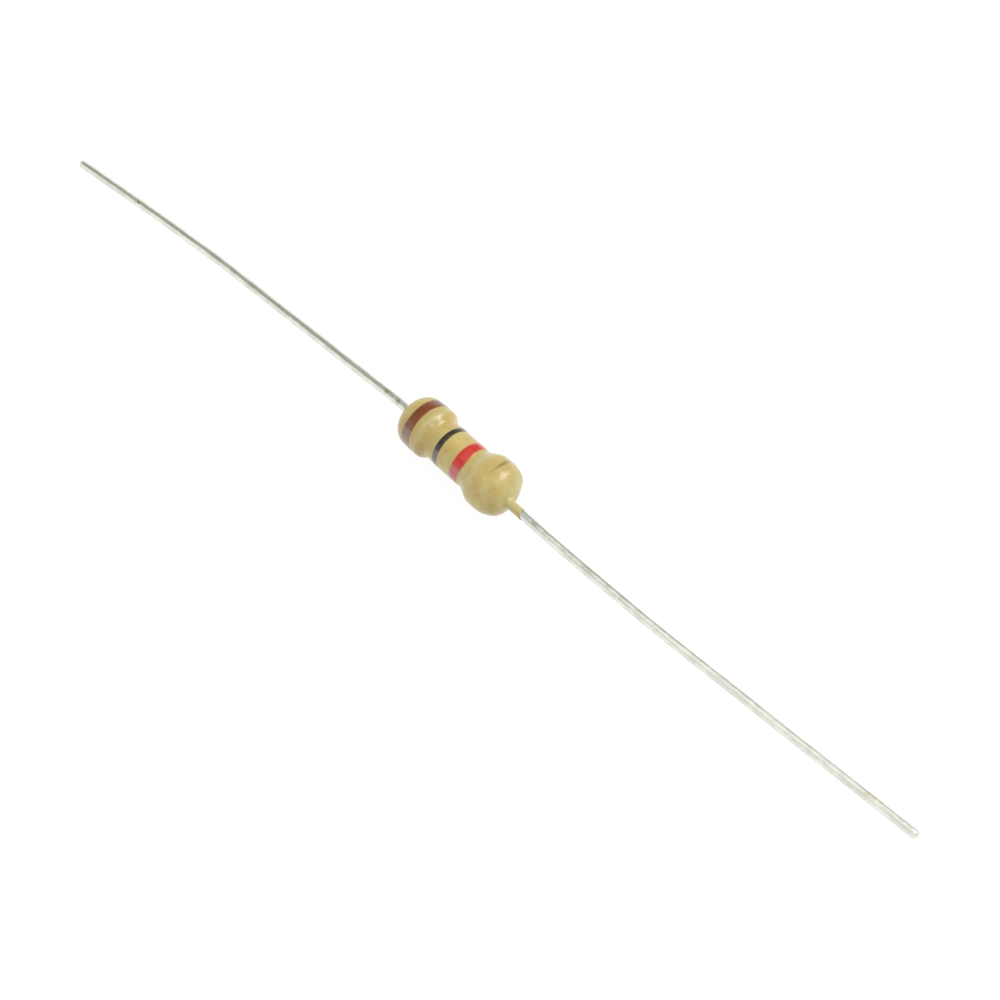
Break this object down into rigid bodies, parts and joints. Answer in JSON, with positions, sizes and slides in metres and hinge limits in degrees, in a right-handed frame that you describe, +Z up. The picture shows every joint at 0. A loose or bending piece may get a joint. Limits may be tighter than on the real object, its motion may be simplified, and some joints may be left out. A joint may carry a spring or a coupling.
{
  "type": "axial resistor",
  "caption": "Quarter-watt axial carbon-film resistor: tan lacquered dog-bone body with colour bands and a long tinned wire lead at each end.",
  "frame": {"origin": "on the surface that the resistor lies on, straight below the middle of its body", "axes": "+X along the body from the first band to the tolerance band, +Z up"},
  "size_m": [0.0507, 0.003, 0.0025],
  "materials": {
    "rod_ceramic": "matt white ceramic",
    "carbon": "dark grey carbon film, slightly shiny",
    "cap_steel": "tin-plated pressed steel",
    "tinned_wire": "bright drawn wire with a tin plate",
    "lacquer": "glossy tan lacquer, slightly lumpy",
    "paint_brown": "glossy brown paint",
    "paint_black": "glossy black paint",
    "paint_red": "glossy red paint",
    "paint_gold": "gold bronze paint, nearly the colour of the lacquer"
  },
  "bodies": {
    "root": {"ceramic_core": "rod_ceramic", "carbon_film": "carbon", "end_cap_left": "cap_steel", "end_cap_right": "cap_steel", "lead_left": "tinned_wire", "lead_right": "tinned_wire", "coating": "lacquer", "band_brown": "paint_brown", "band_black": "paint_black", "band_red": "paint_red", "band_gold": "paint_gold"}
  },
  "joints": []
}
